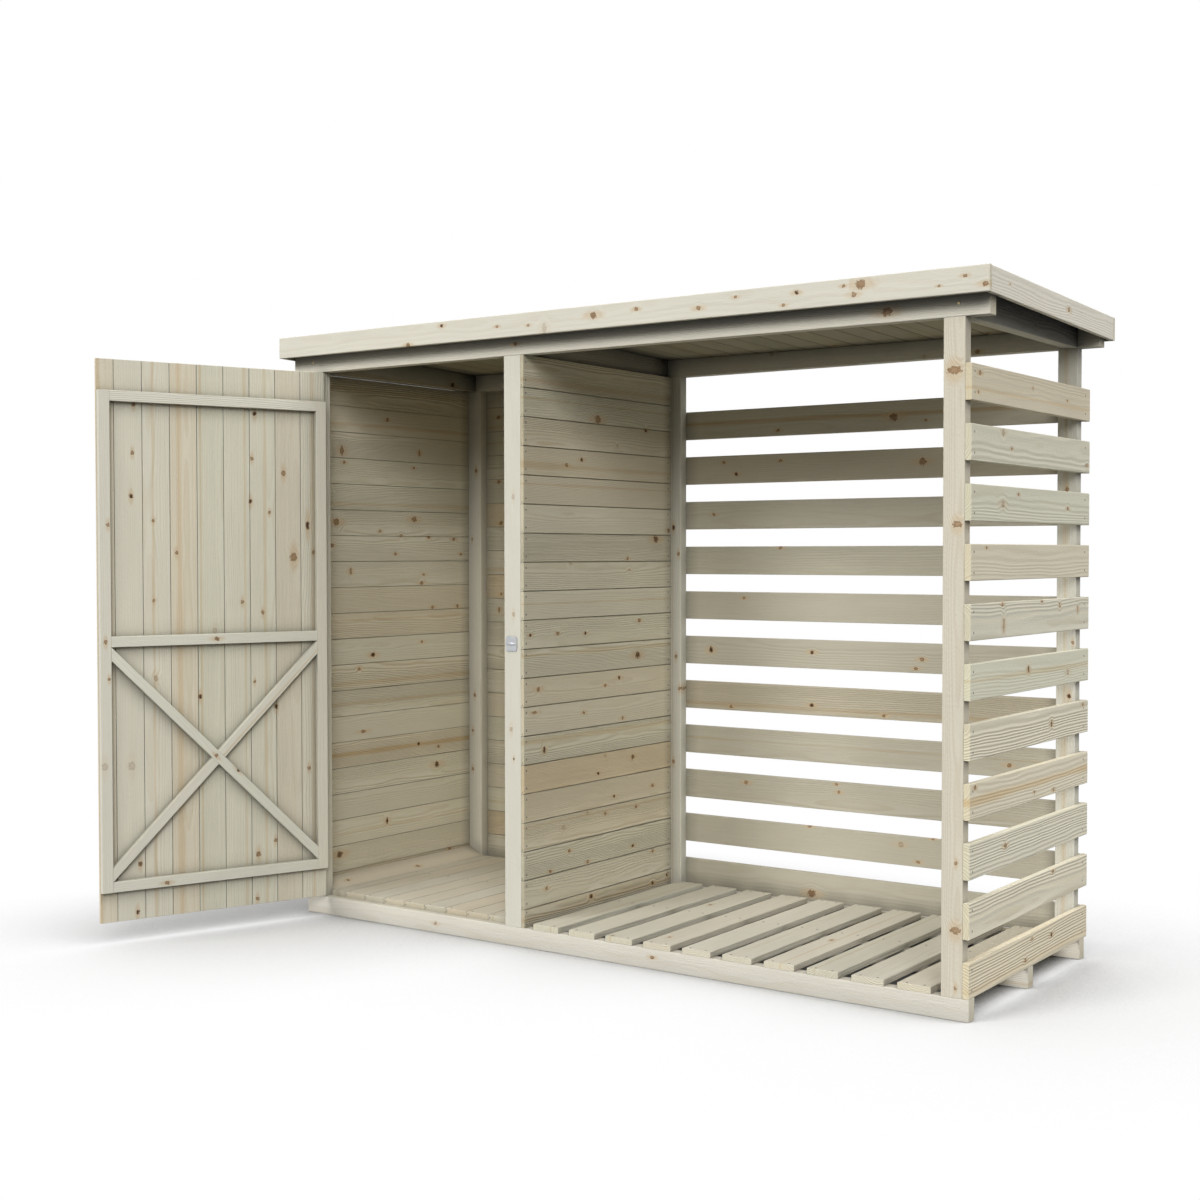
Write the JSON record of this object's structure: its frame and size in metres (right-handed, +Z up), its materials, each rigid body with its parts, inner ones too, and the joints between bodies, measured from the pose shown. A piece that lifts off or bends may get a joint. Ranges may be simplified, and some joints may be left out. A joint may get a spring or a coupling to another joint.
{
  "type": "log store",
  "caption": "Free-standing timber log store: an open slatted log bay beside a boarded tool cupboard with one hinged door, under a flat roof.",
  "frame": {"origin": "middle of the base on the ground, at the centre of the middle bearer's underside", "axes": "+X along the front from the tool cupboard to the log bay, +Y from the front to the back, +Z up"},
  "size_m": [2.616, 1.6375, 1.934],
  "materials": {
    "sawn_softwood": "planed, untreated",
    "planed_board": "planed, untreated",
    "matchboard": "planed, untreated",
    "roof_felt": "mineral felt",
    "zinc_plated_steel": "zinc plated"
  },
  "bodies": {
    "store": {"front_bearer": "sawn_softwood", "middle_bearer": "sawn_softwood", "back_bearer": "sawn_softwood", "tool_store_floor": "planed_board", "log_store_floor": "planed_board", "front_left_post": "sawn_softwood", "front_middle_post": "sawn_softwood", "front_right_post": "sawn_softwood", "back_left_post": "sawn_softwood", "back_middle_post": "sawn_softwood", "back_right_post": "sawn_softwood", "front_rail": "sawn_softwood", "back_rail": "sawn_softwood", "left_side_rail": "sawn_softwood", "middle_side_rail": "sawn_softwood", "right_side_rail": "sawn_softwood", "left_wall_boards": "matchboard", "partition_boards": "matchboard", "back_wall_boards": "matchboard", "side_slats": "planed_board", "back_slats": "planed_board", "roof_deck": "matchboard", "roof_felt": "roof_felt", "front_fascia": "planed_board", "back_fascia": "planed_board", "left_fascia": "planed_board", "right_fascia": "planed_board", "upper_hinge_flap": "zinc_plated_steel", "lower_hinge_flap": "zinc_plated_steel", "latch_keeper": "zinc_plated_steel"},
    "door": {"door_boards": "matchboard", "door_hinge_stile": "sawn_softwood", "door_closing_stile": "sawn_softwood", "door_top_ledge": "sawn_softwood", "door_middle_ledge": "sawn_softwood", "door_bottom_ledge": "sawn_softwood", "door_long_brace": "sawn_softwood", "door_short_braces": "sawn_softwood", "upper_hinge_strap": "zinc_plated_steel", "lower_hinge_strap": "zinc_plated_steel"}
  },
  "joints": [
    {"name": "door_hinge", "type": "hinge", "parent": "store", "child": "door", "pos_m": [-1.105, -0.4387, 0.9], "axis": [0, 0, -1], "range_deg": [-110, 60]}
  ]
}
